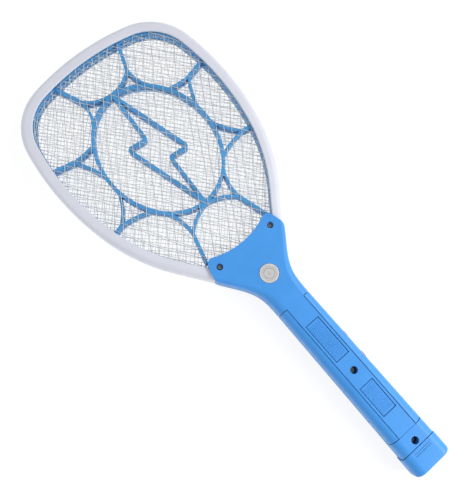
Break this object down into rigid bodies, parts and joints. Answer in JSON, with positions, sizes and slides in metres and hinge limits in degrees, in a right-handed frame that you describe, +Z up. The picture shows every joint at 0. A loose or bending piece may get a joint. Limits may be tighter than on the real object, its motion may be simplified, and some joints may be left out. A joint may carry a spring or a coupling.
{
  "type": "electric fly swatter",
  "caption": "Racket-shaped electric fly swatter with a clamped white rim, blue ring-and-bolt lattice, layered wire meshes and a blue handle with torch, controls and plug cap.",
  "frame": {"origin": "centre of the bounding box's base, on the surface that the swatter lies on; the neck screws stand on either side of it", "axes": "+Y from the handle towards the head's far end, +Z up out of the back (screw side), +X towards the edge with the two red controls"},
  "size_m": [0.1974, 0.4852, 0.026],
  "materials": {
    "blue_handle": "moulded, satin to semi-gloss",
    "white_rim": "moulded, semi-gloss, faint lavender white",
    "blue_lattice": "moulded, semi-gloss",
    "mesh_wire": "bright drawn wire",
    "lens": "frosted clear plastic",
    "reflector": "vacuum-plated plastic",
    "led": "clear epoxy",
    "red_control": "moulded",
    "black_plastic": "moulded",
    "brass_pin": "nickel-plated brass",
    "board": "solder mask on glass fibre",
    "ferrite": "sintered ferrite, matt",
    "winding_tape": "polyester tape",
    "capacitor_coat": "dipped epoxy",
    "resistor_coat": "lacquer",
    "indicator": "tinted epoxy",
    "battery_case": "moulded",
    "red_lead": "PVC insulation",
    "black_lead": "PVC insulation",
    "screw_steel": "zinc-plated"
  },
  "bodies": {
    "swatter": {"handle_back_shell": "blue_handle", "handle_front_shell": "blue_handle", "rim_back": "white_rim", "rim_front": "white_rim", "mesh_retainer_back": "blue_lattice", "mesh_retainer_front": "blue_lattice", "lattice_back": "blue_lattice", "lattice_front": "blue_lattice", "outer_mesh_back": "mesh_wire", "outer_mesh_front": "mesh_wire", "electrode_mesh": "mesh_wire", "torch_lens": "lens", "torch_reflector": "reflector", "torch_led": "led", "torch_switch_body": "black_plastic", "zap_switch_body": "black_plastic", "plug_housing": "black_plastic", "plug_pins": "brass_pin", "circuit_board": "board", "transformer_core": "ferrite", "transformer_winding": "winding_tape", "high_voltage_capacitor": "capacitor_coat", "smoothing_capacitor": "black_plastic", "rectifier_diodes": "black_plastic", "resistors": "resistor_coat", "transistor": "black_plastic", "indicator_led": "indicator", "battery": "battery_case", "battery_leads": "red_lead", "charging_leads": "black_lead", "electrode_lead": "red_lead", "outer_mesh_leads": "black_lead", "neck_screws": "screw_steel", "handle_screws": "screw_steel"},
    "torch_knob": {"torch_switch_knob": "red_control"},
    "zap_button_body": {"zap_button": "red_control"},
    "cap": {"end_cap": "blue_handle"}
  },
  "joints": [
    {"name": "torch_switch_slide", "type": "slide", "parent": "swatter", "child": "torch_knob", "axis": [0, 1, 0], "range_m": [0, 0.003]},
    {"name": "zap_button_press", "type": "slide", "parent": "swatter", "child": "zap_button_body", "axis": [-1, 0, 0], "range_m": [0, 0.001], "stiffness_N_per_m": 600},
    {"name": "end_cap_pull", "type": "slide", "parent": "swatter", "child": "cap", "axis": [0, -1, 0], "range_m": [0, 0.03]}
  ]
}
